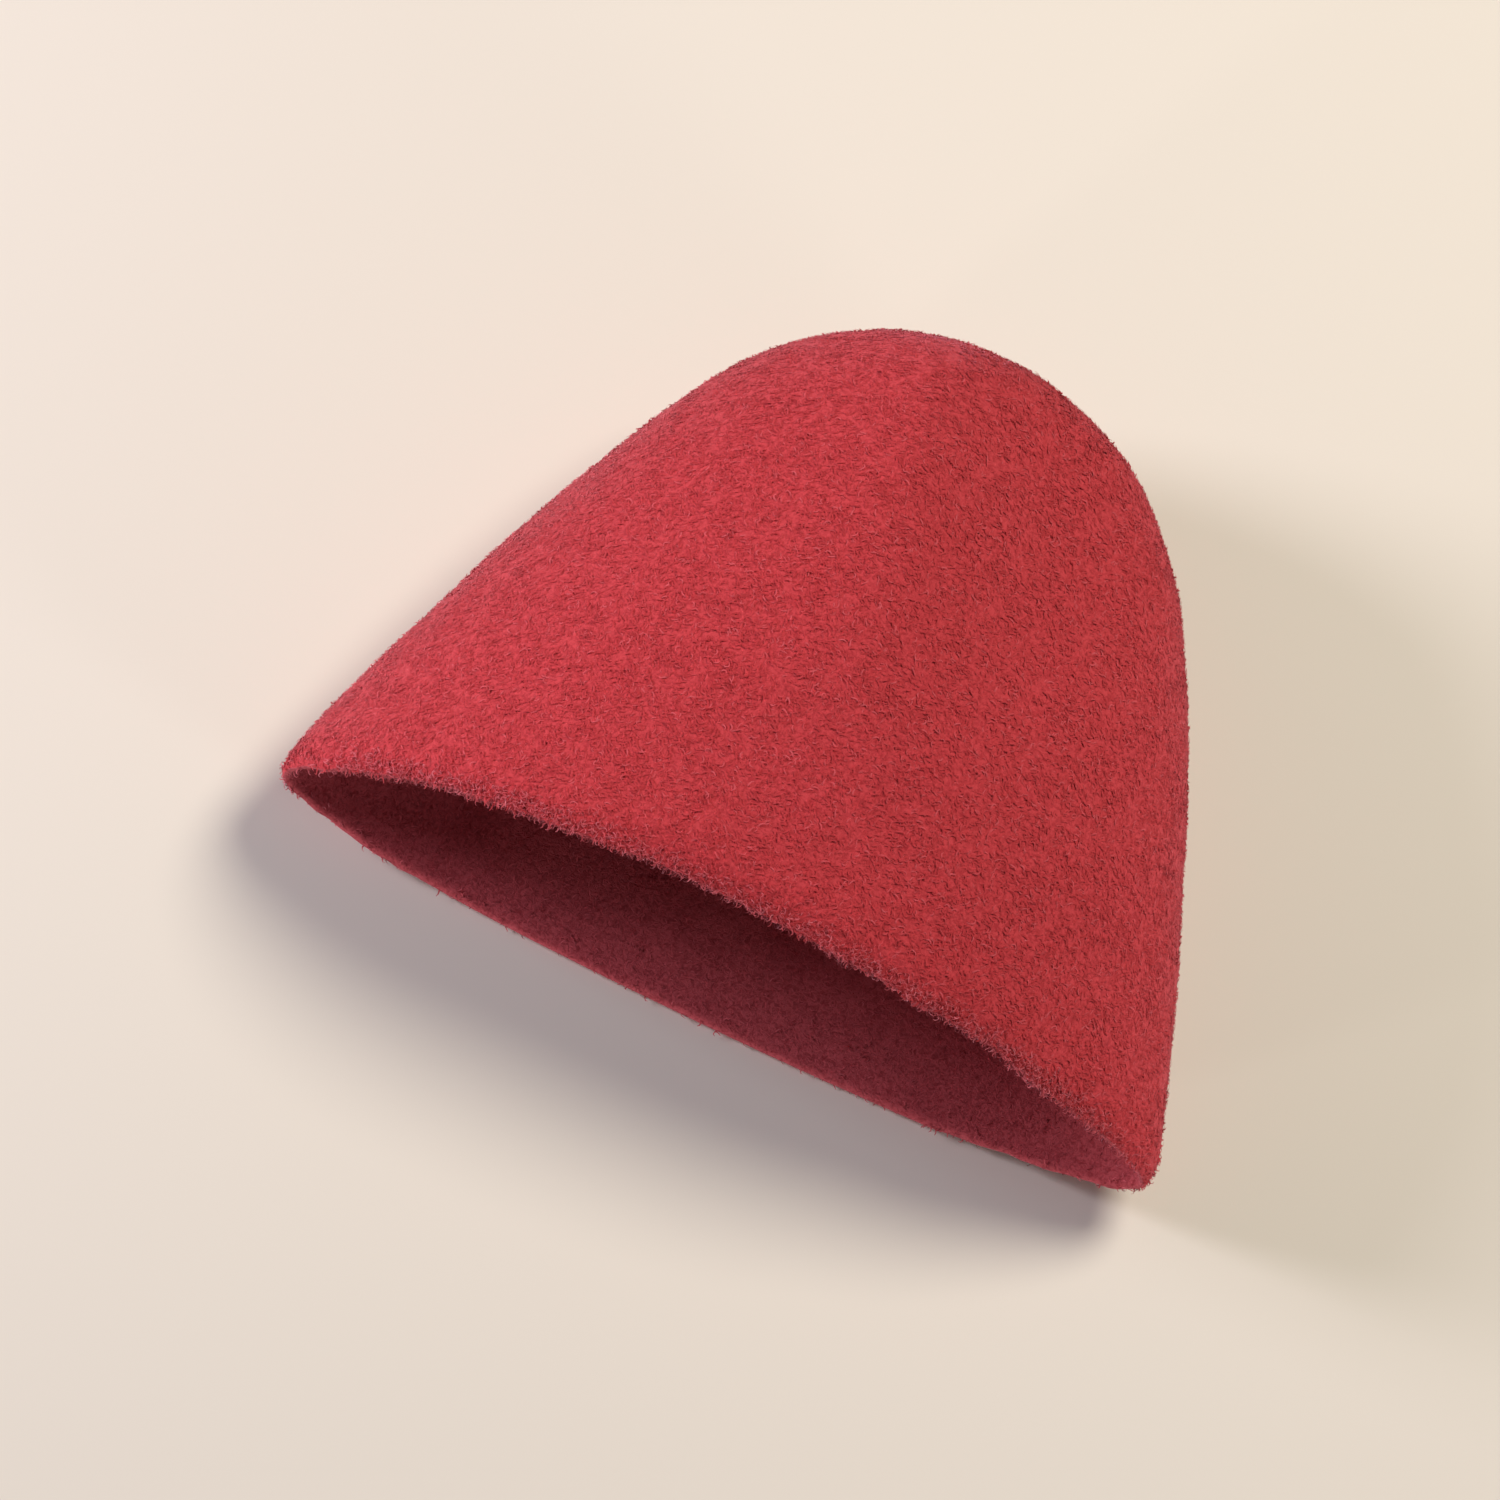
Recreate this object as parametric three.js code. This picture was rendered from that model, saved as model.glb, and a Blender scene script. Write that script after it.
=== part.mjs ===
// A felted wool cap that lies on its back: one seamless shell of thick fulled wool, open at the rim.
// Units are millimetres. +Z is up and the surface that the cap lies on is z = 0.
// The crown points along +Y, the opening faces -Y, and the origin is the middle of the footprint.
import * as THREE from "three";

// Driving sizes of the cap as it lies
const RIM_WIDTH = 267; // corner to corner across the flattened opening, before its edge curls in
const CROWN_DEPTH = 192; // from the corners of the rim to the tip of the crown
const LYING_HEIGHT = 97.5; // from the surface to the top of the arch
const WALL = 3; // thickness of the fulled wool

// The rim: its pressed side stands out past its corners, and its raw edge curls in a little
const RIM_BOW = 4.6;
const RIM_CURL = 2.5;
const RIM_CURL_LENGTH = 9;

// The soft crease that folding left along the crown, and the hollow sunk beside it
const CREASE_HEIGHT = 5.5;
const CREASE_ROUND = 5;
const DENT_DEPTH = 8.5;

// Where the wool meets the surface it eases into it over this height
const CONTACT_EASE = 1.2;

// Fineness of the mesh: about how long a facet is round the rim, up the side, and on the curled rim
const FACET_ROUND = 8;
const FACET_UP = 8;
const FACET_AT_RIM = 3;
const EDGE_STEPS = 4;

const HALF_WIDTH = RIM_WIDTH / 2;
const SECTORS = 2 * Math.round((1.085 * RIM_WIDTH) / FACET_ROUND);
const BODY_RINGS = Math.round(CROWN_DEPTH / FACET_UP);
const RIM_RINGS = Math.round(RIM_CURL_LENGTH / FACET_AT_RIM);
const CREASE_WIDTH = 0.17 * HALF_WIDTH;
const DENT = {
  sideways: 0.28 * HALF_WIDTH,
  along: 0.63 * CROWN_DEPTH,
  halfWidth: 0.22 * HALF_WIDTH,
  halfLength: 0.28 * CROWN_DEPTH,
};

// Sections of the outer face, one row each, evenly spaced along its side from the rim to the tip.
//   along   distance from the corners of the rim, a share of CROWN_DEPTH
//   half    half width, a share of HALF_WIDTH
//   widest  height of the widest line above the surface, a share of LYING_HEIGHT
//   rise    height of the arch above the widest line, a share of LYING_HEIGHT
//   drop    depth of the unpressed underside below the widest line, a share of LYING_HEIGHT
//   lean    sideways place of the arch's top line, a share of HALF_WIDTH
//   pinch   how much the arch pulls in beside its corners, as a fraction
const SECTIONS = [
  { along: 0.000, half: 0.991, widest: 0.226, rise: 0.670, drop: 0.250, lean: -0.090, pinch: 0.35 },
  { along: 0.141, half: 0.927, widest: 0.246, rise: 0.690, drop: 0.300, lean: -0.060, pinch: 0.30 },
  { along: 0.284, half: 0.856, widest: 0.272, rise: 0.703, drop: 0.345, lean: -0.040, pinch: 0.23 },
  { along: 0.427, half: 0.781, widest: 0.297, rise: 0.690, drop: 0.385, lean: -0.030, pinch: 0.17 },
  { along: 0.567, half: 0.698, widest: 0.328, rise: 0.645, drop: 0.415, lean: -0.035, pinch: 0.10 },
  { along: 0.701, half: 0.609, widest: 0.359, rise: 0.560, drop: 0.422, lean: -0.040, pinch: 0.05 },
  { along: 0.823, half: 0.504, widest: 0.390, rise: 0.440, drop: 0.385, lean: -0.030, pinch: 0.00 },
  { along: 0.922, half: 0.360, widest: 0.415, rise: 0.323, drop: 0.290, lean: 0.005, pinch: 0.00 },
  { along: 0.980, half: 0.185, widest: 0.431, rise: 0.165, drop: 0.155, lean: 0.025, pinch: 0.00 },
  { along: 1.000, half: 0.000, widest: 0.436, rise: 0.000, drop: 0.000, lean: 0.000, pinch: 0.00 },
];

// The crease at the same sections
//   height    a share of CREASE_HEIGHT
//   sideways  its place, a share of HALF_WIDTH
const CREASE = [
  { height: 0.00, sideways: 0.000 },
  { height: 0.08, sideways: -0.005 },
  { height: 0.22, sideways: -0.020 },
  { height: 0.42, sideways: -0.050 },
  { height: 0.65, sideways: -0.085 },
  { height: 0.90, sideways: -0.110 },
  { height: 1.00, sideways: -0.125 },
  { height: 0.65, sideways: -0.130 },
  { height: 0.12, sideways: -0.130 },
  { height: 0.00, sideways: -0.130 },
];

const BELLY_SWELL = 0.25; // how much fuller than an ellipse the underside is beside its corners

// Past the tip these columns go on with their sign turned, and the others as in a mirror
const TURNED_PAST_TIP = new Set(["half", "rise", "drop"]);

function cell(table, column, row) {
  const last = table.length - 1;
  if (row < 0) {
    return 2 * table[0][column] - table[1][column];
  }
  if (row > last) {
    const mirrored = table[2 * last - row][column];
    return TURNED_PAST_TIP.has(column) ? -mirrored : mirrored;
  }
  return table[row][column];
}

// A table's column at a share of the way from the rim (0) to the tip (1), on a Catmull-Rom curve
function smooth(table, column, share) {
  const place = share * (table.length - 1);
  const row = Math.min(Math.floor(place), table.length - 2);
  const t = place - row;
  const before = cell(table, column, row - 1);
  const start = cell(table, column, row);
  const end = cell(table, column, row + 1);
  const after = cell(table, column, row + 2);
  const slope = end - before;
  const bend = 2 * before - 5 * start + 4 * end - after;
  const twist = 3 * (start - end) + after - before;
  return start + 0.5 * t * (slope + t * (bend + t * twist));
}

// Wool above the surface keeps its height, and wool below it is pressed flat onto it
function pressOntoSurface(height) {
  if (height >= CONTACT_EASE) {
    return height;
  }
  if (height <= -CONTACT_EASE) {
    return 0;
  }
  return (height + CONTACT_EASE) ** 2 / (4 * CONTACT_EASE);
}

function bell(distance, width) {
  return Math.exp(-((distance / width) ** 2));
}

// A tent with a rounded ridge: it falls off evenly to both sides, and ever less steeply further out
function tent(distance, width, round) {
  return Math.exp((round - Math.hypot(distance, round)) / width);
}

// How far the crease and the dent lift the outer face above its plain arch
function creaseAndDent(share, x, along) {
  const fromCrease = x - smooth(CREASE, "sideways", share) * HALF_WIDTH;
  const fold = tent(fromCrease, CREASE_WIDTH, CREASE_ROUND);
  const crease = smooth(CREASE, "height", share) * CREASE_HEIGHT * fold;
  const acrossDent = bell(x - DENT.sideways, DENT.halfWidth);
  const alongDent = bell(along - DENT.along, DENT.halfLength);
  return crease - DENT_DEPTH * acrossDent * alongDent;
}

// A point of the outer face: share runs from the rim to the tip, and angle from +X over the top
function outerPoint(share, angle) {
  const side = Math.cos(angle);
  const up = Math.sin(angle);
  const along = smooth(SECTIONS, "along", share) * CROWN_DEPTH;
  const curl = RIM_CURL * Math.max(0, 1 - along / RIM_CURL_LENGTH) ** 2;
  const half = smooth(SECTIONS, "half", share) * HALF_WIDTH - curl;
  const widest = smooth(SECTIONS, "widest", share) * LYING_HEIGHT;
  if (up < 0) {
    const drop = smooth(SECTIONS, "drop", share) * LYING_HEIGHT;
    const belly = widest + drop * up * (1 + BELLY_SWELL * side * side);
    const bow = RIM_BOW * up * up * (1 - share) ** 2;
    return new THREE.Vector3(half * side, along - bow, pressOntoSurface(belly));
  }
  const rise = smooth(SECTIONS, "rise", share) * LYING_HEIGHT - curl;
  const arch = rise * (1 - smooth(SECTIONS, "pinch", share) * side ** 4);
  const x = half * side + smooth(SECTIONS, "lean", share) * HALF_WIDTH * up * up;
  return new THREE.Vector3(x, along, widest + up * (arch + creaseAndDent(share, x, along)));
}

const STEP = 1e-4; // a small share or angle, to measure slopes with

// The way from the rim to the tip along the outer face, as a unit vector
function towardsTip(share, angle) {
  const from = Math.max(0, share - STEP);
  const to = Math.min(1, share + STEP);
  return outerPoint(to, angle).sub(outerPoint(from, angle)).normalize();
}

function outwardNormal(share, angle) {
  if (share > 1 - STEP) {
    return towardsTip(1, Math.PI / 2).cross(towardsTip(1, 0)).normalize();
  }
  const round = outerPoint(share, angle + STEP).sub(outerPoint(share, angle - STEP));
  return towardsTip(share, angle).cross(round).normalize();
}

// The wall's profile runs from the tip of the outer face, round the raw edge, to the tip of the inner face.
// A row holds the share of the way to the tip, the depth below the outer face, and the reach past the rim.
function wallProfile() {
  const firstSpan = SECTIONS[1].along * CROWN_DEPTH;
  const rimShare = RIM_CURL_LENGTH / firstSpan / (SECTIONS.length - 1);
  const shares = [];
  for (let ring = 0; ring < RIM_RINGS; ring += 1) {
    shares.push((rimShare * ring) / RIM_RINGS);
  }
  for (let ring = 0; ring <= BODY_RINGS; ring += 1) {
    shares.push(THREE.MathUtils.lerp(rimShare, 1, ring / BODY_RINGS));
  }
  const outer = shares.map((share) => ({ share, depth: 0, reach: 0 })).reverse();
  const inner = shares.map((share) => ({ share, depth: WALL, reach: 0 }));
  const edge = [];
  for (let step = 1; step < EDGE_STEPS; step += 1) {
    const turn = (Math.PI * step) / EDGE_STEPS;
    edge.push({ share: 0, depth: (WALL / 2) * (1 - Math.cos(turn)), reach: (WALL / 2) * Math.sin(turn) });
  }
  return [...outer, ...edge, ...inner];
}

// The cap is turned as a round shell on an upright axis, and then each of its points is laid down in place
function layDown(geometry, profile) {
  const position = geometry.getAttribute("position");
  for (let index = 0; index < position.count; index += 1) {
    const { share, depth, reach } = profile[index % profile.length];
    const sector = Math.floor(index / profile.length) % SECTORS;
    const angle = (2 * Math.PI * sector) / SECTORS;
    const point = outerPoint(share, angle);
    point.addScaledVector(outwardNormal(share, angle), -depth);
    point.addScaledVector(towardsTip(share, angle), -reach);
    position.setXYZ(index, point.x, point.y, point.z);
  }
  geometry.computeVertexNormals();
}

function makeFeltCap() {
  const profile = wallProfile();
  const turned = profile.map(({ share, depth, reach }) => {
    const radius = (HALF_WIDTH - depth) * Math.sqrt(Math.max(0, 1 - share * share));
    return new THREE.Vector2(share === 1 ? 0 : radius, share * CROWN_DEPTH - reach);
  });
  const geometry = new THREE.LatheGeometry(turned, SECTORS);
  layDown(geometry, profile);
  const wool = new THREE.MeshStandardMaterial({ color: "#b83a42", roughness: 0.96, metalness: 0 });
  const cap = new THREE.Mesh(geometry, wool);
  cap.name = "felt_cap";
  geometry.computeBoundingBox();
  const middle = geometry.boundingBox.getCenter(new THREE.Vector3());
  cap.position.set(-middle.x, -middle.y, 0);
  return cap;
}

const cap = new THREE.Group();
cap.add(makeFeltCap());

export default cap;
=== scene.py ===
# %% [markdown]
# # A felted wool cap, lying on its back
#
# The object is one seamless cap of thick fulled wool: no brim, no seam and no band. It lies on its back
# as a soft cap does, pressed flat below and arched above, with its opening towards the viewer. The
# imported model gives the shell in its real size, and this lesson gives it its wool: a matted body, and
# tens of thousands of short curled fibres. Everything is in metres, with +Z up, +Y towards the crown
# and -Y out of the opening.

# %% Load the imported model
import math

import bmesh
import bpy
from mathutils import Matrix, Vector, noise


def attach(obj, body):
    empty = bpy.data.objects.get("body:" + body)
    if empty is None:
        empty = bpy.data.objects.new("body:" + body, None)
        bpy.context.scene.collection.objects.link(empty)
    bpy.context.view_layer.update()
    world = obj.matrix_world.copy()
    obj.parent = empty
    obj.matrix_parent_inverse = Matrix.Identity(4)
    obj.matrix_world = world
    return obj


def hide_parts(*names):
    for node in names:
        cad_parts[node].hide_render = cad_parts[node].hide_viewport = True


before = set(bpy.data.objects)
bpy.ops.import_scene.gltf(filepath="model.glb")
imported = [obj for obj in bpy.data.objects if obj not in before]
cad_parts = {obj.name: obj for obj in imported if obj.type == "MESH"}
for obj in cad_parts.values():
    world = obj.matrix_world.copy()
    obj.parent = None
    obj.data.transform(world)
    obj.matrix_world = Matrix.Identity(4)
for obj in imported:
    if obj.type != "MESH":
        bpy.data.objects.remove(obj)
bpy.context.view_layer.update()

CAP_NODE = "felt_cap"

# %% [markdown]
# ## Small tools
#
# Colours are chosen as sRGB hex values, while a shader wants linear light, so one function turns them.
# Shader trees and Geometry Nodes trees are both built from code here. One small function adds a node
# of any kind, sets its settings, and feeds each of its inputs with a value, with another node's output,
# or with several.

# %% Colours, millimetres and nodes
MM = 0.001


def linear(hex_colour):
    """An sRGB hex colour as linear RGBA."""
    parts = [int(hex_colour[i : i + 2], 16) / 255 for i in (1, 3, 5)]
    return tuple(c / 12.92 if c <= 0.04045 else ((c + 0.055) / 1.055) ** 2.4 for c in parts) + (1.0,)


def add(tree, kind, inputs=None, **settings):
    """Adds a node with its settings, and its inputs by identifier: values, or outputs that feed them."""
    node = tree.nodes.new(kind)
    for name, value in settings.items():
        setattr(node, name, value)
    for identifier, value in (inputs or {}).items():
        socket = next(one for one in node.inputs if one.identifier == identifier)
        feeds = value if isinstance(value, list) else [value]
        for feed in feeds:
            if isinstance(feed, bpy.types.NodeSocket):
                tree.links.new(feed, socket)
            else:
                socket.default_value = feed
    return node


def out(node, identifier):
    """A node's output, by identifier: one kind of node may have several outputs of one name."""
    return next(one for one in node.outputs if one.identifier == identifier)


print("mid grey is", round(linear("#808080")[0], 3), "in linear light")

# %% [markdown]
# ## The camera
#
# The cap is seen from above its opening, about 68 degrees above the surface, through a long lens, and
# the picture is turned so that the crown points to the upper right. The camera is placed in three
# steps: its tilt, its turn about its own axis, and the point that it aims at.

# %% Camera
CAMERA_TILT = math.radians(21.9)  # from straight down, towards the opening
CAMERA_TURN = math.radians(25.56)  # how far the crown leans to the right in the picture
CAMERA_DISTANCE = 1.6
PICTURE_WIDTH = 0.41  # of the plane through the cap's middle
AIM_HEIGHT = 40 * MM
AIM_SIDEWAYS = -18.0 * MM
AIM_UPWARDS = -33.0 * MM
SENSOR = 36.0  # in millimetres, as the lens is

towards_camera = Vector((0, -math.sin(CAMERA_TILT), math.cos(CAMERA_TILT)))
cap_right = Vector((1, 0, 0))
cap_up = Vector((0, math.cos(CAMERA_TILT), math.sin(CAMERA_TILT)))
aim = Vector((0, 0, AIM_HEIGHT)) + cap_right * AIM_SIDEWAYS + cap_up * AIM_UPWARDS
picture_right = cap_right * math.cos(CAMERA_TURN) + cap_up * math.sin(CAMERA_TURN)
picture_up = cap_up * math.cos(CAMERA_TURN) - cap_right * math.sin(CAMERA_TURN)

camera_data = bpy.data.cameras.new("camera")
camera_data.sensor_width = SENSOR
camera_data.lens = SENSOR * CAMERA_DISTANCE / PICTURE_WIDTH
camera = bpy.data.objects.new("camera", camera_data)
camera_place = aim + towards_camera * CAMERA_DISTANCE
camera_turn = Matrix((picture_right, picture_up, towards_camera)).transposed()
camera.matrix_world = Matrix.Translation(camera_place) @ camera_turn.to_4x4()
bpy.context.scene.collection.objects.link(camera)
bpy.context.scene.camera = camera
print("the lens is", round(camera_data.lens), "mm, at", tuple(round(v, 3) for v in camera_place))

# %% [markdown]
# ## The matted body
#
# Under its nap the cap is a shell of matted wool 3 mm thick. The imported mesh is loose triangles, so a
# copy of it is merged and its triangles are paired into quads, which a Subdivision Surface rounds off.
# Cloth simulation could lay such a cap down too, but wool this thick holds the form that the packed
# shell already has.

# %% A smooth copy of the shell
QUAD_FACE_ANGLE = math.radians(60)
QUAD_SHAPE_ANGLE = math.radians(80)
MERGE_DISTANCE = 0.004 * MM
BODY_LEVELS = 2


def as_plain_mesh(piece):
    """Replaces a piece's mesh by its evaluated one and drops its modifiers."""
    evaluated = piece.evaluated_get(bpy.context.evaluated_depsgraph_get())
    data = bpy.data.meshes.new_from_object(evaluated)
    piece.modifiers.clear()
    piece.data = data
    data.name = piece.name


def smooth_copy(node, name):
    """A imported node's loose triangles, merged, paired into quads and rounded off, as a new piece."""
    mesh = bmesh.new()
    mesh.from_mesh(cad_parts[node].data)
    bmesh.ops.remove_doubles(mesh, verts=mesh.verts, dist=MERGE_DISTANCE)
    bmesh.ops.join_triangles(
        mesh,
        faces=mesh.faces,
        angle_face_threshold=QUAD_FACE_ANGLE,
        angle_shape_threshold=QUAD_SHAPE_ANGLE,
    )
    for face in mesh.faces:
        face.smooth = True
    data = bpy.data.meshes.new(name)
    mesh.to_mesh(data)
    mesh.free()
    piece = bpy.data.objects.new(name, data)
    bpy.context.scene.collection.objects.link(piece)
    rounding = piece.modifiers.new("rounding", "SUBSURF")
    rounding.levels = rounding.render_levels = BODY_LEVELS
    as_plain_mesh(piece)
    return piece


body = smooth_copy(CAP_NODE, "wool_body")
print("the body has", len(body.data.polygons), "faces")

# %% [markdown]
# ## Uneven wool and a raw edge
#
# Fulled wool is never quite even: it swells and thins by a fraction of a millimetre every centimetre or
# so, and its rim is not cut quite straight. Sculpting would do it, but noise along the normals does it
# in a few lines, and gives the same cap in each run. Wool that is pressed onto the surface stays flat.

# %% Swells, hollows and a wavering rim
LUMPS = [
    {"length": 26 * MM, "height": 0.50 * MM},
    {"length": 11 * MM, "height": 0.24 * MM},
    {"length": 5 * MM, "height": 0.09 * MM},
]
RIM_WAVES = [
    {"length": 17 * MM, "height": 0.9 * MM},
    {"length": 6 * MM, "height": 0.55 * MM},
]
RIM_Y = -93 * MM  # from here outwards a point is at the rim
RIM_BAND = 12 * MM  # how far its wavering reaches into the cap
PRESSED_HEIGHT = 0.6 * MM  # up to here the wool is pressed flat
EASE_HEIGHT = 4 * MM  # and from here on it is free


def fade(value, start, end):
    """A smooth step from 0 at start to 1 at end."""
    share = min(1.0, max(0.0, (value - start) / (end - start)))
    return share * share * (3 - 2 * share)


def waves(place, table):
    """The sum of the table's waves of noise at a place."""
    return sum(row["height"] * noise.noise(place / row["length"]) for row in table)


def nearness_to_rim(place):
    """1 at the rim, and 0 from the rim's band inwards."""
    return 1 - fade(place.y, RIM_Y, RIM_Y + RIM_BAND)


normals = [vertex.normal.copy() for vertex in body.data.vertices]
moves = []
for vertex, normal in zip(body.data.vertices, normals):
    free = fade(vertex.co.z, PRESSED_HEIGHT, EASE_HEIGHT)
    lump = normal * waves(vertex.co, LUMPS)
    waver = Vector((0, 1, 0)) * waves(vertex.co, RIM_WAVES) * nearness_to_rim(vertex.co)
    move = (lump + waver) * free
    vertex.co += move
    moves.append(move.length)
body.data.update()
print("the wool moved by up to", round(max(moves) / MM, 2), "mm")

# %% [markdown]
# ## Which wool grows where
#
# Each face of the shell has its own nap: thick and curly outside, short inside, and ragged round the
# raw edge. A weight painted by hand could say so. Here the place and the normal of each point of the
# body do: they give a number from 0 to 1 for each nap, which the Geometry Nodes below read by name. The
# outer nap stops where the cap is pressed onto the surface. The raw edge frays where it arches over the
# opening, little at the rim's two corners, and not at all along its pressed side.

# %% Where each nap grows
CAP_MIDDLE = Vector((0, 30 * MM, 38 * MM))
OUTWARD = 0.35  # the part of a normal that points away from the hollow, from which a face is an outer one
PRESSED_NORMAL = -0.98  # the height of the normal of a face that lies on the surface
FREE_NORMAL = -0.85  # and of one that is free of it
CUT_NORMAL = -0.3  # the lengthways part of a normal, below which it belongs to the cut edge
EDGE_BAND = 5 * MM
EDGE_EASE = 12 * MM
PRESSED_SIDE_TOP = 20 * MM  # the rim is its free side above this height
CORNER_X = 120 * MM
CORNER_THINNING = 0.85  # the share of the fringe that a corner lacks
INSIDE_FRINGE = 0.1  # the share of the fringe that grows just inside the rim


def growth(place, normal):
    """How much outer nap, inner nap and rim fringe grow at a point of the body."""
    middle = Vector((0, min(place.y, CAP_MIDDLE.y), CAP_MIDDLE.z))
    outside = normal.dot((place - middle).normalized()) > OUTWARD
    cut = normal.y < CUT_NORMAL
    free = fade(place.z, PRESSED_HEIGHT, EASE_HEIGHT / 2) * fade(normal.z, PRESSED_NORMAL, FREE_NORMAL)
    at_rim = 1 - fade(place.y, RIM_Y, RIM_Y + EDGE_BAND)
    upper = fade(place.z, PRESSED_SIDE_TOP - EDGE_EASE, PRESSED_SIDE_TOP)
    between_corners = 1 - CORNER_THINNING * fade(abs(place.x), CORNER_X - EDGE_EASE, CORNER_X)
    # The inner number also sets where the ground takes the darker inner dye: painted shade inside the
    # hollow and on the rim's cut face.
    return {
        "outer": free * (1 - at_rim * (1 - upper)) if outside else 0.0,
        "inner": 0.0 if outside else 1.0,
        "edge": at_rim * upper * between_corners * (1.0 if outside or cut else INSIDE_FRINGE),
    }


rows = [growth(vertex.co, vertex.normal) for vertex in body.data.vertices]
for name in ("outer", "inner", "edge"):
    layer = body.data.attributes.new(name, "FLOAT", "POINT")
    layer.data.foreach_set("value", [row[name] for row in rows])
    share = sum(row[name] for row in rows) / len(rows)
    print(name, "nap grows on", round(share * 100), "% of the body's points")

# %% [markdown]
# ## Fulled wool, the material of the body
#
# The ground is wool that hot water, soap and rubbing have matted into a cloth, in a strong red dye. It
# scatters light softly and has no gloss, so it is fully rough, with a little sheen. Its dye is painted
# darker where its tufts sink, and darker still in small pits between them: painted shade. The wool
# inside the cap, and the cut face of its rim, are the same, in a duller, pinker and darker red that is
# painted shade of the hollow.
# Real fibres are 0.03 mm thick, far too fine to show, so the pattern follows the tufts that they mat
# into, 1 to 3 mm across. A woven pattern would be wrong: fulling closes the cloth until no thread can
# be told from the next.

# %% Ground material
# the deep reds are painted shade where the tufts sink
GROUND_TUFT_SHADE = "#A22C34"
GROUND_RED = "#BE3F46"
# the inner reds are painted darker, duller and pinker than the outer ones, as shade inside the hollow
SHADED_INNER_TUFT_SHADE = "#8E3239"
SHADED_INNER_RED = "#B24C54"
# the dark red of the painted shade in the small pits between the tufts
PIT_SHADE_RED = "#7E1820"
SHEEN_PINK = "#FFA8BC"
TUFT_SIZE = 1.3 * MM
DARKEST_TUFT_SHADE = 0.3  # the noise at which the painted shade between tufts is darkest
UNSHADED_TUFT = 0.62  # and at which it is gone
PIT_SPACING = 2.2 * MM
PIT_RIM = 0.40  # the noise at which a pit begins
PIT_BOTTOM = 0.30  # and at which its painted shade is darkest
PIT_SHADE_STRENGTH = 0.30  # how far the painted shade of a pit darkens the dye
BUMP_HEIGHT = 0.5 * MM


def with_pit_shade(tree, where, colour):
    """A colour with painted shade in the small pits that lie between the tufts."""
    hollows = add(
        tree,
        "ShaderNodeTexNoise",
        {"Vector": where, "Scale": 1 / PIT_SPACING, "Detail": 1.5, "Roughness": 0.55, "Distortion": 0.8},
    )
    pit_shade = add(
        tree,
        "ShaderNodeMapRange",
        {
            "Value": hollows.outputs["Fac"],
            "From Min": PIT_RIM,
            "From Max": PIT_BOTTOM,
            "To Max": PIT_SHADE_STRENGTH,
        },
        interpolation_type="SMOOTHSTEP",
    )
    pit_shaded = add(
        tree,
        "ShaderNodeMix",
        {"Factor_Float": pit_shade.outputs["Result"], "A_Color": colour, "B_Color": linear(PIT_SHADE_RED)},
        data_type="RGBA",
    )
    return out(pit_shaded, "Result_Color")


def ground_colour(tree, where, tufts):
    """The two dyes, the inner one painted darker as shade, each with painted shade in hollows and pits."""
    tuft_shade = add(
        tree,
        "ShaderNodeMapRange",
        {"Value": tufts, "From Min": DARKEST_TUFT_SHADE, "From Max": UNSHADED_TUFT},
        interpolation_type="SMOOTHSTEP",
    )
    dyes = []
    for deep, light in ((GROUND_TUFT_SHADE, GROUND_RED), (SHADED_INNER_TUFT_SHADE, SHADED_INNER_RED)):
        dye = add(
            tree,
            "ShaderNodeMix",
            {"Factor_Float": tuft_shade.outputs["Result"], "A_Color": linear(deep), "B_Color": linear(light)},
            data_type="RGBA",
        )
        dyes.append(out(dye, "Result_Color"))
    inside = add(tree, "ShaderNodeAttribute", attribute_name="inner").outputs["Fac"]
    wool = add(
        tree,
        "ShaderNodeMix",
        {"Factor_Float": inside, "A_Color": dyes[0], "B_Color": dyes[1]},
        data_type="RGBA",
    )
    return with_pit_shade(tree, where, out(wool, "Result_Color"))


def ground_material():
    """Fulled wool: fully rough, hardly specular, with a little sheen, and raised into small tufts."""
    material = bpy.data.materials.new("fulled_wool_ground")
    material.use_nodes = True
    tree = material.node_tree
    shader = tree.nodes["Principled BSDF"]
    where = add(tree, "ShaderNodeTexCoord").outputs["Object"]
    tufts = add(
        tree,
        "ShaderNodeTexNoise",
        {"Vector": where, "Scale": 1 / TUFT_SIZE, "Detail": 3.0, "Roughness": 0.6, "Distortion": 1.2},
    ).outputs["Fac"]
    bump = add(tree, "ShaderNodeBump", {"Height": tufts, "Distance": BUMP_HEIGHT, "Strength": 0.6})
    tree.links.new(ground_colour(tree, where, tufts), shader.inputs["Base Color"])
    tree.links.new(bump.outputs["Normal"], shader.inputs["Normal"])
    shader.inputs["Roughness"].default_value = 1.0
    shader.inputs["Specular IOR Level"].default_value = 0.15
    shader.inputs["Sheen Weight"].default_value = 0.25
    shader.inputs["Sheen Roughness"].default_value = 0.5
    shader.inputs["Sheen Tint"].default_value = linear(SHEEN_PINK)
    return material


ground = ground_material()
body.data.materials.clear()
body.data.materials.append(ground)
print("the ground's material has", len(ground.node_tree.nodes), "nodes")
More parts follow.
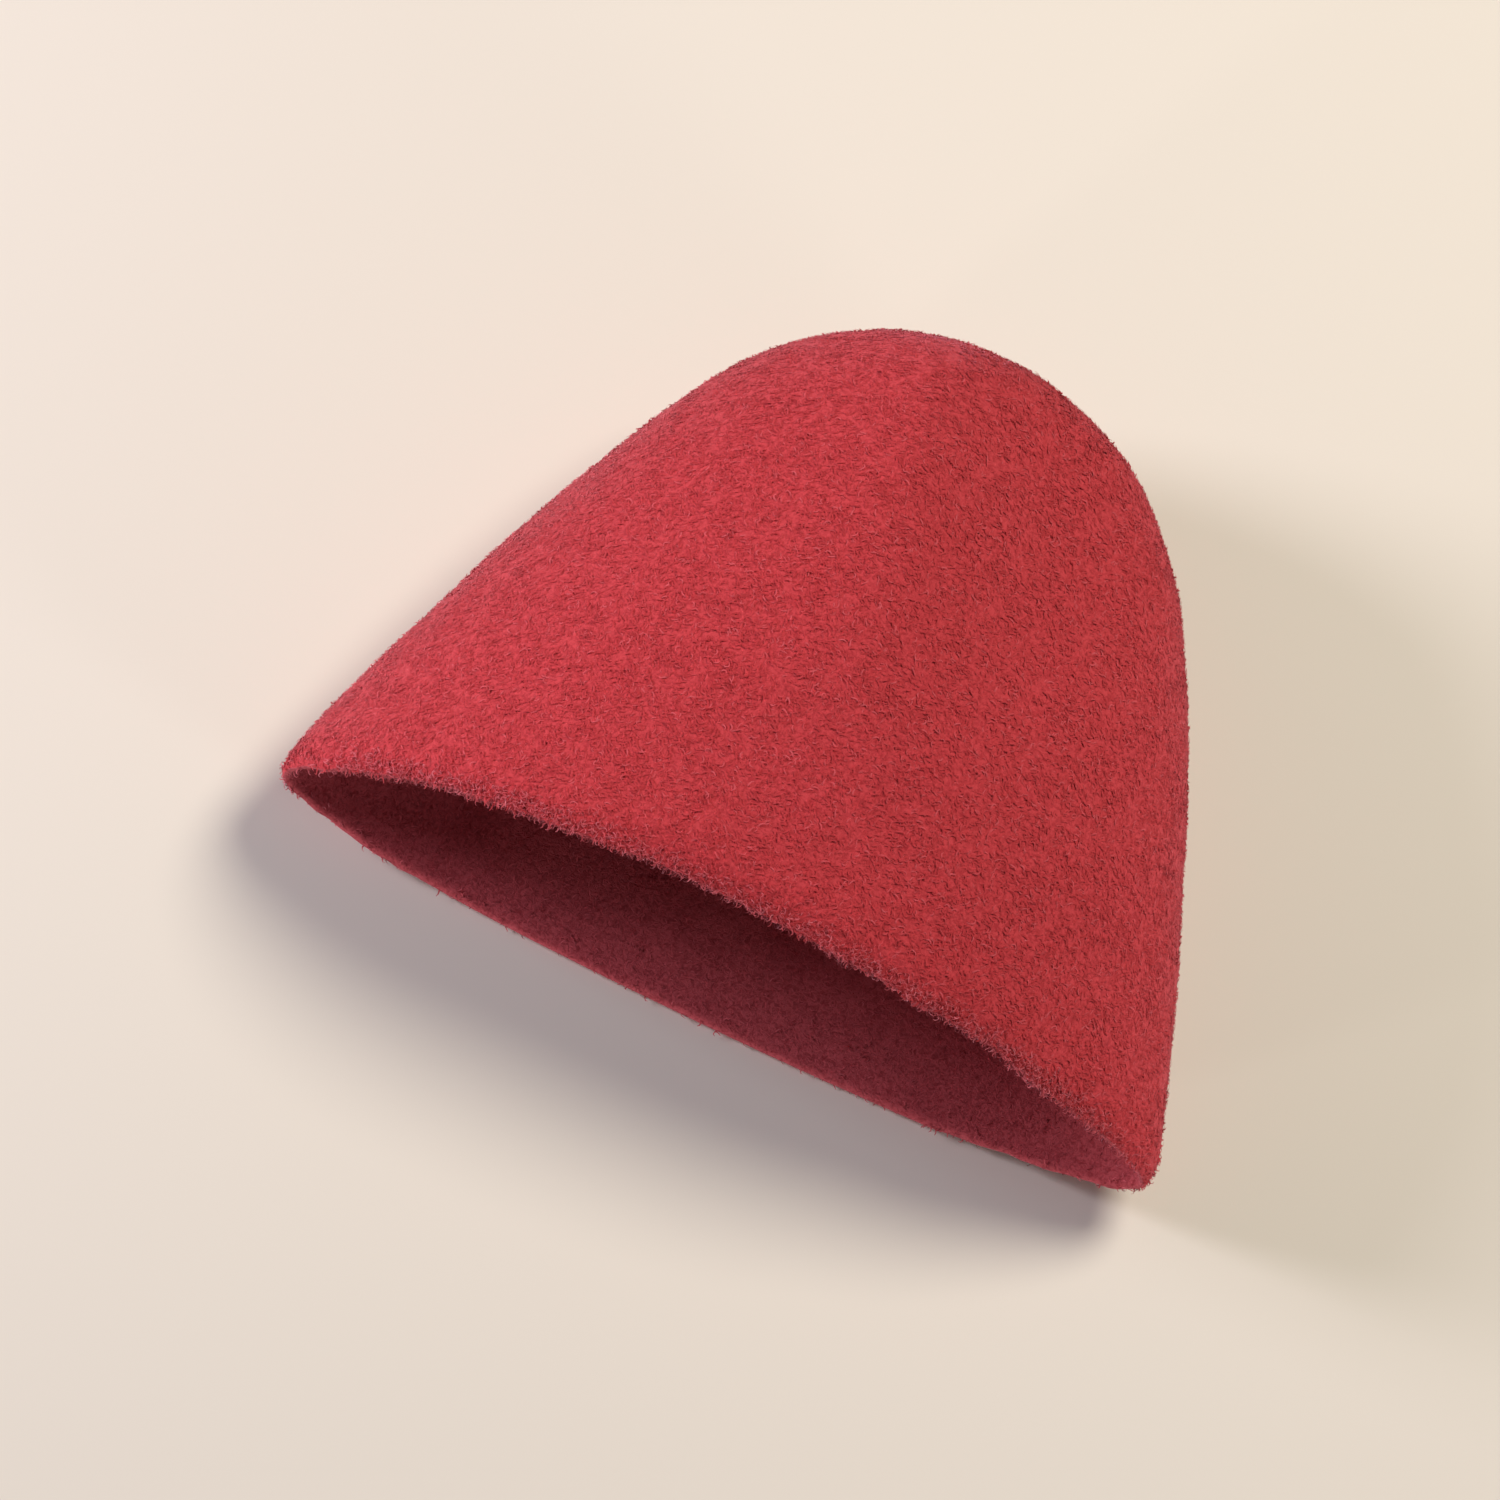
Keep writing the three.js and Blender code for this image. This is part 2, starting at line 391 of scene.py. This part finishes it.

# %% [markdown]
# ## Wool fibres, the material of the nap
#
# A wool fibre is dull, soft-looking and slightly see-through, and no two take the dye alike: here and
# there one stays pinkish. Each fibre carries its own shade, and along it a reach that runs from 0 at
# its root to 1 at its tip. Roots sit in the shadow of the others, and that shade is painted into their
# deeper red. Where the cap is seen edge on, light that runs through the fibres gives it a pink glow,
# which the shader's sheen makes. There are three sets of dyes: the outer wool; the inner wool, painted
# duller and darker as the shade inside the hollow; and the wool that frays at the raw edge, whose
# lighter dye is partly its own and partly painted light against the shade within its dense fringe.
#
# Ribbons that stand for soft locks would look scratchy if each were shaded by its own face alone. So
# the normal of the wool below is blended in, and a share of the light passes through, which keeps their
# far sides from going black. A hair shader would do this too, but it is made for hair curves, and these
# fibres are a mesh.

# %% Fibre materials
# each root colour is painted shade: a root lies in the shadow of the other fibres
OUTER_FIBRES = {
    "root": "#B0333B",
    "shades": [
        {"from": 0.00, "colour": "#BB3C43"},
        {"from": 0.35, "colour": "#C34249"},
        {"from": 0.80, "colour": "#C8484F"},
        {"from": 1.00, "colour": "#D4606A"},
    ],
}
# the inner dyes are painted darker and duller than the outer ones, as shade inside the hollow
SHADED_INNER_FIBRES = {
    "root": "#9C3A42",
    "shades": [
        {"from": 0.00, "colour": "#AE4A52"},
        {"from": 0.50, "colour": "#BA525A"},
        {"from": 1.00, "colour": "#C4606A"},
    ],
}
# the raw edge's paler, lighter dyes are partly its own and partly painted light against its fringe's shade
RIM_FIBRES = {
    "root": "#BA4A53",
    "shades": [
        {"from": 0.00, "colour": "#C8525B"},
        {"from": 0.50, "colour": "#D05E68"},
        {"from": 0.85, "colour": "#D66C78"},
        {"from": 1.00, "colour": "#DC7E8A"},
    ],
}
ROOT_SHARE = 0.45  # of a fibre's reach, over which the painted shade at its root fades
SOFTNESS = 0.55  # how far a fibre is shaded like the wool that it lies on
SEE_THROUGH = 0.3  # the share of its light that a fibre lets through


def fibre_colour(tree, dyes):
    """A fibre's colour: the dye of its shade, with painted shade at its root and in the pits of the wool.
    """
    shade = add(tree, "ShaderNodeAttribute", attribute_name="shade").outputs["Fac"]
    ramp = add(tree, "ShaderNodeValToRGB", {"Fac": shade})
    stops = ramp.color_ramp.elements
    while len(stops) < len(dyes["shades"]):
        stops.new(0.5)
    for stop, row in zip(stops, dyes["shades"]):
        stop.position = row["from"]
        stop.color = linear(row["colour"])
    reach = add(tree, "ShaderNodeAttribute", attribute_name="reach").outputs["Fac"]
    out_of_root_shade = add(tree, "ShaderNodeMapRange", {"Value": reach, "From Min": 0.0, "From Max": ROOT_SHARE})
    dyed = add(
        tree,
        "ShaderNodeMix",
        {
            "Factor_Float": out_of_root_shade.outputs["Result"],
            "A_Color": linear(dyes["root"]),
            "B_Color": ramp.outputs["Color"],
        },
        data_type="RGBA",
    )
    where = add(tree, "ShaderNodeTexCoord").outputs["Object"]
    return with_pit_shade(tree, where, out(dyed, "Result_Color"))


def softened_normal(tree):
    """A fibre's own normal, drawn towards the normal of the wool that it lies on."""
    skin = add(tree, "ShaderNodeAttribute", attribute_name="skin").outputs["Vector"]
    skin_way = add(
        tree,
        "ShaderNodeVectorTransform",
        {"Vector": skin},
        vector_type="NORMAL",
        convert_from="OBJECT",
        convert_to="WORLD",
    )
    own_way = add(tree, "ShaderNodeNewGeometry").outputs["Normal"]
    soft_way = add(
        tree,
        "ShaderNodeMix",
        {"Factor_Float": SOFTNESS, "A_Vector": own_way, "B_Vector": skin_way.outputs["Vector"]},
        data_type="VECTOR",
    )
    evened = add(
        tree,
        "ShaderNodeVectorMath",
        {"Vector": out(soft_way, "Result_Vector")},
        operation="NORMALIZE",
    )
    return evened.outputs["Vector"]


def fibre_material(name, dyes):
    """Wool fibres in one set of dyes: dull, with a full pink sheen, and slightly see-through."""
    material = bpy.data.materials.new(name)
    material.use_nodes = True
    tree = material.node_tree
    shader = tree.nodes["Principled BSDF"]
    colour = fibre_colour(tree, dyes)
    seen_through = add(tree, "ShaderNodeBsdfTranslucent", {"Color": colour})
    fibre = add(
        tree,
        "ShaderNodeMixShader",
        {"Fac": SEE_THROUGH, "Shader": shader.outputs["BSDF"], "Shader_001": seen_through.outputs["BSDF"]},
    )
    tree.links.new(fibre.outputs["Shader"], tree.nodes["Material Output"].inputs["Surface"])
    tree.links.new(colour, shader.inputs["Base Color"])
    tree.links.new(softened_normal(tree), shader.inputs["Normal"])
    shader.inputs["Roughness"].default_value = 0.9
    shader.inputs["Specular IOR Level"].default_value = 0.2
    shader.inputs["Sheen Weight"].default_value = 1.0
    shader.inputs["Sheen Roughness"].default_value = 0.35
    shader.inputs["Sheen Tint"].default_value = linear(SHEEN_PINK)
    return material


outer_fibres = fibre_material("dyed_wool_fibres", OUTER_FIBRES)
shaded_inner_fibres = fibre_material("shaded_wool_fibres", SHADED_INNER_FIBRES)
rim_fibres = fibre_material("raw_edge_wool_fibres", RIM_FIBRES)
print("the fibres have", len(outer_fibres.node_tree.nodes), "nodes in each of three materials")

# %% [markdown]
# ## One curled fibre
#
# Hair particles would give a nap, but they leave no mesh behind. So a fibre is a small curved ribbon: a
# Bezier curve swept with a short line, which narrows to its tip and takes six to ten triangles. Four
# curls are drawn in the small table below, as shares of the fibre's size, and every fibre is one of
# them, turned and sized by itself.

# %% Curls, and the ribbons made of them
# The two handles and the tip of each curve: shares of the fibre's length, along and sideways, and then of
# its rise.
CURLS = [
    {"first": (0.30, -0.22, 1.0), "second": (0.62, 0.34, 1.3), "tip": (0.95, 0.10, 0.6)},
    {"first": (0.35, 0.30, 1.1), "second": (0.85, 0.42, 0.9), "tip": (0.88, -0.05, 0.5)},
    {"first": (0.25, -0.35, 0.9), "second": (0.70, -0.55, 1.5), "tip": (0.82, -0.15, 1.1)},
    {"first": (0.40, 0.10, 0.7), "second": (0.65, 0.15, 1.6), "tip": (0.98, -0.12, 0.9)},
]
ROOT_DEPTH = 0.25 * MM  # how deep a root sits in the body
TAPER_START = 0.4  # of a fibre's reach, from which it narrows
TIP_WIDTH = 0.35  # of its width at the root


def curled_ribbon(tree, sizes, curl, profile, taper):
    """One fibre of the tree's length and rise, as an instance to pick."""
    scale = add(
        tree,
        "ShaderNodeCombineXYZ",
        {"X": sizes["Length"], "Y": sizes["Length"], "Z": sizes["Rise"]},
    ).outputs["Vector"]
    points = {}
    for part, shares in curl.items():
        points[part] = add(
            tree,
            "ShaderNodeVectorMath",
            {"Vector": scale, "Vector_001": shares},
            operation="MULTIPLY",
        ).outputs["Vector"]
    line = add(
        tree,
        "GeometryNodeCurvePrimitiveBezierSegment",
        {
            "Resolution": sizes["Steps"],
            "Start": (0.0, 0.0, -ROOT_DEPTH),
            "Start Handle": points["first"],
            "End Handle": points["second"],
            "End": points["tip"],
        },
        mode="POSITION",
    )
    reach = add(tree, "GeometryNodeSplineParameter").outputs["Factor"]
    marked = add(
        tree,
        "GeometryNodeStoreNamedAttribute",
        {"Geometry": line.outputs["Curve"], "Name": "reach", "Value": reach},
        data_type="FLOAT",
    )
    upright = add(tree, "GeometryNodeSetCurveNormal", {"Curve": marked.outputs["Geometry"]}, mode="Z_UP")
    ribbon = add(
        tree,
        "GeometryNodeCurveToMesh",
        {"Curve": upright.outputs["Curve"], "Profile Curve": profile, "Scale": taper},
    )
    single = add(tree, "GeometryNodeGeometryToInstance", {"Geometry": ribbon.outputs["Mesh"]})
    return single.outputs["Instances"]


def ribbon_choice(tree, sizes):
    """All the curls as ribbons of the tree's sizes, for each root to pick one."""
    half = add(tree, "ShaderNodeMath", {"Value": sizes["Width"], "Value_001": 0.5}, operation="MULTIPLY")
    one_side = add(tree, "ShaderNodeCombineXYZ", {"X": half.outputs["Value"]})
    other_side = add(
        tree,
        "ShaderNodeVectorMath",
        {"Vector": one_side.outputs["Vector"], "Scale": -1.0},
        operation="SCALE",
    )
    profile = add(
        tree,
        "GeometryNodeCurvePrimitiveLine",
        {"Start": other_side.outputs["Vector"], "End": one_side.outputs["Vector"]},
    ).outputs["Curve"]
    along = add(tree, "GeometryNodeSplineParameter").outputs["Factor"]
    taper = add(
        tree,
        "ShaderNodeMapRange",
        {"Value": along, "From Min": TAPER_START, "From Max": 1.0, "To Min": 1.0, "To Max": TIP_WIDTH},
    ).outputs["Result"]
    curls = [curled_ribbon(tree, sizes, curl, profile, taper) for curl in CURLS]
    return add(tree, "GeometryNodeJoinGeometry", {"Geometry": curls}).outputs["Geometry"]


print("a fibre has one of", len(CURLS), "curls")

# %% [markdown]
# ## How a fibre lies
#
# Rubbing leaves the nap in swirls a centimetre or two wide. Turning every ribbon at random would look
# like noise, and combing them all one way would look like fur. So a slow noise turns the ribbons, and
# chance adds to each one some stray to the side and a small lean.

# %% Swirl, stray and lean
SWIRL_SIZE = 14 * MM
SWIRL_TURN = 4 * math.pi  # over the whole range of the noise
STRAY_SEED = 11
LEAN_SEEDS = (21, 22)


def fibre_turn(tree, sizes, body_turn):
    """How each fibre is turned from the body's own turn under it."""
    swirl = add(tree, "ShaderNodeTexNoise", {"Scale": 1 / SWIRL_SIZE, "Detail": 1.0})
    lay = add(
        tree,
        "ShaderNodeMath",
        {"Value": swirl.outputs["Fac"], "Value_001": SWIRL_TURN},
        operation="MULTIPLY",
    )
    stray_back = add(
        tree,
        "ShaderNodeMath",
        {"Value": sizes["Stray"], "Value_001": -1.0},
        operation="MULTIPLY",
    )
    stray = add(
        tree,
        "FunctionNodeRandomValue",
        {"Min_001": stray_back.outputs["Value"], "Max_001": sizes["Stray"], "Seed": STRAY_SEED},
        data_type="FLOAT",
    )
    heading = add(
        tree,
        "ShaderNodeMath",
        {"Value": lay.outputs["Value"], "Value_001": out(stray, "Value_001")},
        operation="ADD",
    )
    lean_back = add(
        tree,
        "ShaderNodeMath",
        {"Value": sizes["Lean"], "Value_001": -1.0},
        operation="MULTIPLY",
    )
    leans = []
    for seed in LEAN_SEEDS:
        lean = add(
            tree,
            "FunctionNodeRandomValue",
            {"Min_001": lean_back.outputs["Value"], "Max_001": sizes["Lean"], "Seed": seed},
            data_type="FLOAT",
        )
        leans.append(out(lean, "Value_001"))
    angles = add(
        tree,
        "ShaderNodeCombineXYZ",
        {"X": leans[0], "Y": leans[1], "Z": heading.outputs["Value"]},
    )
    own_turn = add(tree, "FunctionNodeEulerToRotation", {"Euler": angles.outputs["Vector"]})
    turned = add(
        tree,
        "FunctionNodeRotateRotation",
        {"Rotation": body_turn, "Rotate By": own_turn.outputs["Rotation"]},
        rotation_space="LOCAL",
    )
    return turned.outputs["Rotation"]


print("the swirls of the nap are about", round(SWIRL_SIZE / MM), "mm wide")

# %% [markdown]
# ## A tree that grows thousands
#
# Geometry Nodes scatter roots over the body, as densely as the numbers from before say, and put a
# ribbon on each. Matted wool stands in small tufts with gaps between them, so no fibre roots where a
# second, finer noise is low. A fibre that would dip into the surface below the cap is lifted onto it.
# The same tree serves each nap: its sizes, its seed, the place where it grows and its wool are inputs.
# It ends as a real mesh with its material set, because a plain mesh can't hold instances.

# %% The nap tree
CLUMP_SIZE = 2.6 * MM
PIT_SHARE = 0.30  # of the noise's range, below which no fibre roots
SHORTEST = 0.65  # of the nap's size
LONGEST = 1.3
STRETCH_SEED = 31
LOWEST_FIBRE = 0.05 * MM
ANYWHERE = -9.0  # lower than any place that a fibre has
NAP_SIZES = [
    {"name": "Density", "kind": "NodeSocketFloat", "value": 4e5},  # roots on a square metre
    {"name": "Length", "kind": "NodeSocketFloat", "value": 2.5 * MM},
    {"name": "Width", "kind": "NodeSocketFloat", "value": 0.4 * MM},
    {"name": "Rise", "kind": "NodeSocketFloat", "value": 0.5 * MM},
    {"name": "Lean", "kind": "NodeSocketFloat", "value": 0.35},  # in radians, as the stray is
    {"name": "Stray", "kind": "NodeSocketFloat", "value": 1.2},
    {"name": "Steps", "kind": "NodeSocketInt", "value": 4},
    {"name": "Seed", "kind": "NodeSocketInt", "value": 1},
    {"name": "Grows", "kind": "NodeSocketString", "value": "outer"},
    {"name": "Wool", "kind": "NodeSocketMaterial", "value": None},
]


def scattered_roots(tree, body_shape, sizes):
    """Roots over the body, and the same marked with a shade each and the normal of the wool there."""
    grows = add(tree, "GeometryNodeInputNamedAttribute", {"Name": sizes["Grows"]}, data_type="FLOAT")
    density = add(
        tree,
        "ShaderNodeMath",
        {"Value": grows.outputs["Attribute"], "Value_001": sizes["Density"]},
        operation="MULTIPLY",
    )
    roots = add(
        tree,
        "GeometryNodeDistributePointsOnFaces",
        {"Mesh": body_shape, "Density": density.outputs["Value"], "Seed": sizes["Seed"]},
        distribute_method="RANDOM",
    )
    chance = add(
        tree,
        "FunctionNodeRandomValue",
        {"Min_001": 0.0, "Max_001": 1.0, "Seed": sizes["Seed"]},
        data_type="FLOAT",
    )
    shaded = add(
        tree,
        "GeometryNodeStoreNamedAttribute",
        {"Geometry": roots.outputs["Points"], "Name": "shade", "Value": out(chance, "Value_001")},
        data_type="FLOAT",
    )
    skinned = add(
        tree,
        "GeometryNodeStoreNamedAttribute",
        {"Geometry": shaded.outputs["Geometry"], "Name": "skin", "Value": roots.outputs["Normal"]},
        data_type="FLOAT_VECTOR",
    )
    return roots, skinned.outputs["Geometry"]


def fibres_on(tree, roots, marked_roots, sizes):
    """A ribbon on each root that stands in a tuft, as real geometry."""
    clumps = add(tree, "ShaderNodeTexNoise", {"Scale": 1 / CLUMP_SIZE, "Detail": 1.0})
    in_tuft = add(
        tree,
        "FunctionNodeCompare",
        {"A": clumps.outputs["Fac"], "B": PIT_SHARE},
        data_type="FLOAT",
        operation="GREATER_THAN",
    )
    stretch = add(
        tree,
        "FunctionNodeRandomValue",
        {"Min_001": SHORTEST, "Max_001": LONGEST, "Seed": STRETCH_SEED},
        data_type="FLOAT",
    )
    grown = add(
        tree,
        "GeometryNodeInstanceOnPoints",
        {
            "Points": marked_roots,
            "Selection": in_tuft.outputs["Result"],
            "Instance": ribbon_choice(tree, sizes),
            "Pick Instance": True,
            "Rotation": fibre_turn(tree, sizes, roots.outputs["Rotation"]),
            "Scale": out(stretch, "Value_001"),
        },
    )
    real = add(tree, "GeometryNodeRealizeInstances", {"Geometry": grown.outputs["Instances"]})
    return real.outputs["Geometry"]


def nap_tree():
    """A tree that turns a body into the nap that grows on it."""
    tree = bpy.data.node_groups.new("nap", "GeometryNodeTree")
    tree.interface.new_socket("Geometry", in_out="INPUT", socket_type="NodeSocketGeometry")
    tree.interface.new_socket("Geometry", in_out="OUTPUT", socket_type="NodeSocketGeometry")
    for size in NAP_SIZES:
        tree.interface.new_socket(size["name"], in_out="INPUT", socket_type=size["kind"])
    start = add(tree, "NodeGroupInput")
    sizes = {size["name"]: start.outputs[size["name"]] for size in NAP_SIZES}
    roots, marked_roots = scattered_roots(tree, start.outputs["Geometry"], sizes)
    fibres = fibres_on(tree, roots, marked_roots, sizes)
    place = add(tree, "GeometryNodeInputPosition").outputs["Position"]
    lifted = add(
        tree,
        "ShaderNodeVectorMath",
        {"Vector": place, "Vector_001": (ANYWHERE, ANYWHERE, LOWEST_FIBRE)},
        operation="MAXIMUM",
    )
    above = add(
        tree,
        "GeometryNodeSetPosition",
        {"Geometry": fibres, "Position": lifted.outputs["Vector"]},
    )
    smooth = add(tree, "GeometryNodeSetShadeSmooth", {"Geometry": above.outputs["Geometry"]})
    dyed = add(
        tree,
        "GeometryNodeSetMaterial",
        {"Geometry": smooth.outputs["Geometry"], "Material": sizes["Wool"]},
    )
    end = add(tree, "NodeGroupOutput")
    tree.links.new(dyed.outputs["Geometry"], end.inputs["Geometry"])
    return tree


nap = nap_tree()
print("the nap tree has", len(nap.nodes), "nodes and", len(NAP_SIZES), "inputs")

# %% [markdown]
# ## The outer nap
#
# Outside, the wool has a short, curly nap. One layer of one size would look like a carpet, so three are
# grown, with seeds of their own: a flat ground, a curly layer over it, and a looser one on top. A
# single fibre wouldn't show, so each ribbon stands for a lock of matted fibres about half a millimetre
# wide.

# %% Outer nap, in three layers
OUTER_NAPS = {
    "ground_nap": {
        "Density": 4.3e5, "Length": 1.9 * MM, "Width": 0.52 * MM, "Rise": 0.20 * MM,
        "Lean": 0.12, "Steps": 3, "Seed": 3,
    },
    "curly_nap": {
        "Density": 3.3e5, "Length": 2.3 * MM, "Width": 0.50 * MM, "Rise": 0.34 * MM,
        "Lean": 0.12, "Steps": 4, "Seed": 5,
    },
    "loose_nap": {
        "Density": 3.3e5, "Length": 2.4 * MM, "Width": 0.46 * MM, "Rise": 0.42 * MM,
        "Lean": 0.13, "Steps": 4, "Seed": 6,
    },
}


def grow(name, **sizes):
    """Grows a nap of the given sizes on the body, as a piece of its own."""
    piece = bpy.data.objects.new(name, body.data.copy())
    bpy.context.scene.collection.objects.link(piece)
    modifier = piece.modifiers.new("nap", "NODES")
    modifier.node_group = nap
    given = {size["name"]: sizes.get(size["name"], size["value"]) for size in NAP_SIZES}
    for item in nap.interface.items_tree:
        if item.in_out == "INPUT" and item.name in given:
            modifier[item.identifier] = given[item.name]
    as_plain_mesh(piece)
    triangles = sum(len(face.vertices) - 2 for face in piece.data.polygons)
    print(name, "has", triangles, "triangles in", triangles // (2 * given["Steps"]), "fibres")
    return piece


naps = [grow(name, Grows="outer", Wool=outer_fibres, **sizes) for name, sizes in OUTER_NAPS.items()]

# %% [markdown]
# ## The inner nap
#
# Inside, the same wool has less nap, and much of it lies in the shade, so one sparser layer is enough.
# The material alone could stand for it, but near the opening, where light reaches in, real fibres show.

# %% Inner nap
inner_nap = grow(
    "inner_nap",
    Grows="inner",
    Density=1.9e5,
    Length=2.0 * MM,
    Width=0.44 * MM,
    Rise=0.3 * MM,
    Steps=3,
    Seed=7,
    Wool=shaded_inner_fibres,
)
naps.append(inner_nap)

# %% [markdown]
# ## The fringe of the raw edge
#
# The rim is neither hemmed nor bound, and loose fibres stand out of the cut wool in all directions.
# They are thinner, they rise higher and they stray all the way round, so that the edge looks frayed
# against the dark inside.

# %% Rim fringe
rim_fringe = grow(
    "rim_fringe",
    Grows="edge",
    Density=2.6e6,
    Length=1.9 * MM,
    Width=0.38 * MM,
    Rise=0.6 * MM,
    Lean=0.7,
    Stray=3.1,
    Steps=5,
    Seed=9,
    Wool=rim_fibres,
)
naps.append(rim_fringe)

# %% [markdown]
# ## The floor
#
# The cap lies on a wide sheet of pale, matt paper. It is only a stage, so four corners are enough. The
# sheet lies a little lower than the pressed wool, because two faces in one place would flicker.

# %% Floor
FLOOR_HALF = 3.0
FLOOR_DROP = 0.2 * MM
PAPER_COLOUR = "#DDD8D0"

corners = [(x * FLOOR_HALF, y * FLOOR_HALF, -FLOOR_DROP) for x, y in ((-1, -1), (1, -1), (1, 1), (-1, 1))]
floor_mesh = bpy.data.meshes.new("floor")
floor_mesh.from_pydata(corners, [], [(0, 1, 2, 3)])
floor = bpy.data.objects.new("floor", floor_mesh)
bpy.context.scene.collection.objects.link(floor)
paper = bpy.data.materials.new("matt_paper_floor")  # it takes a soft shadow and mirrors nothing
paper.use_nodes = True
paper_shader = paper.node_tree.nodes["Principled BSDF"]
paper_shader.inputs["Base Color"].default_value = linear(PAPER_COLOUR)
paper_shader.inputs["Roughness"].default_value = 0.9
floor_mesh.materials.append(paper)
print("the floor is", 2 * FLOOR_HALF, "m wide")

# %% [markdown]
# ## The light
#
# Soft light shows the wool best, and it has to come from a side, because light from the camera would
# hide both the nap and the crease. An image of a studio could give it, but four disks of light can be
# placed one by one. The overhead one hangs beyond the crown, the window on the left gives the form, a
# small one low in front reaches into the opening, and the fill keeps the right side from going dark. A
# faint even light stands for the room.

# %% Lights
LIGHTS = [
    {"name": "overhead", "place": (0.375, 0.65, 1.34), "size": 0.7, "power": 20.5, "colour": "#FFF5E4"},
    {"name": "window", "place": (-1.36, -0.19, 0.65), "size": 0.5, "power": 18.2, "colour": "#FCF4FF"},
    {"name": "low_front", "place": (-0.75, -1.3, 0.12), "size": 0.1, "power": 8, "colour": "#FFFAF4"},
    {"name": "fill", "place": (1.4, -0.51, 0.25), "size": 0.5, "power": 6.2, "colour": "#FFFFFF"},
]
ROOM_COLOUR = "#F2F2F4"
ROOM_STRENGTH = 0.05


def disk_light(row):
    """A soft disk of light that faces the cap."""
    data = bpy.data.lights.new(row["name"], "AREA")
    data.shape = "DISK"
    data.size = row["size"]
    data.energy = row["power"]
    data.color = linear(row["colour"])[:3]
    lamp = bpy.data.objects.new(row["name"], data)
    way = Vector((0, 0, AIM_HEIGHT)) - Vector(row["place"])
    lamp.matrix_world = Matrix.Translation(row["place"]) @ way.to_track_quat("-Z", "Y").to_matrix().to_4x4()
    bpy.context.scene.collection.objects.link(lamp)


for row in LIGHTS:
    disk_light(row)
room = bpy.data.worlds.new("studio")
room.use_nodes = True
room.node_tree.nodes["Background"].inputs["Color"].default_value = linear(ROOM_COLOUR)
room.node_tree.nodes["Background"].inputs["Strength"].default_value = ROOM_STRENGTH
bpy.context.scene.world = room
bpy.context.scene.view_settings.view_transform = "Standard"  # it shows the dyes as they were chosen
print("the lamps give", round(sum(row["power"] for row in LIGHTS), 1), "watts in all")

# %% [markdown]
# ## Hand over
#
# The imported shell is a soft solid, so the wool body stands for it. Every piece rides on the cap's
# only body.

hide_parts(CAP_NODE)
for piece in [body, *naps]:
    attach(piece, "root")
